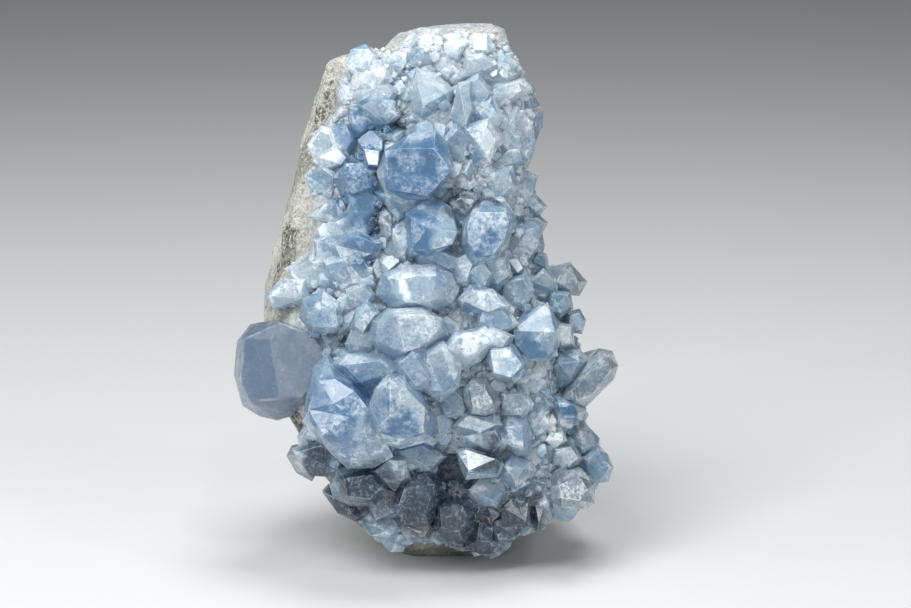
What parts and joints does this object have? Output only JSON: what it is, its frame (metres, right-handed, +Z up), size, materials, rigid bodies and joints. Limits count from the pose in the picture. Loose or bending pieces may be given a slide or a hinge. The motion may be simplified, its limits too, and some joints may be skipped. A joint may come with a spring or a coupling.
{
  "type": "celestite crystal cluster",
  "caption": "Upright lump of pale host rock with a crust of sky-blue, blocky celestite crystals grown over its front and right side, and a few larger crystals that stand clear.",
  "frame": {"origin": "middle of the flat foot the specimen stands on", "axes": "+Z up, -Y towards the viewer of the crystal-covered front, +X to the viewer's right"},
  "size_m": [0.0854, 0.0767, 0.1199],
  "materials": {
    "host_rock": "chalky cream-white rock with grey-green specks and stains, rough and uneven",
    "celestite": "clear to milky sky-blue crystal with bright flat faces, pale frosted edges and fine white veils"
  },
  "bodies": {
    "root": {"host_rock": "host_rock", "crystal_crust": "celestite", "corner_crystal": "celestite", "spur_crystal": "celestite", "edge_crystal": "celestite", "drop_crystal": "celestite", "low_left_crystal": "celestite", "low_right_crystal": "celestite", "toe_crystal": "celestite", "tail_crystal": "celestite"}
  },
  "joints": []
}
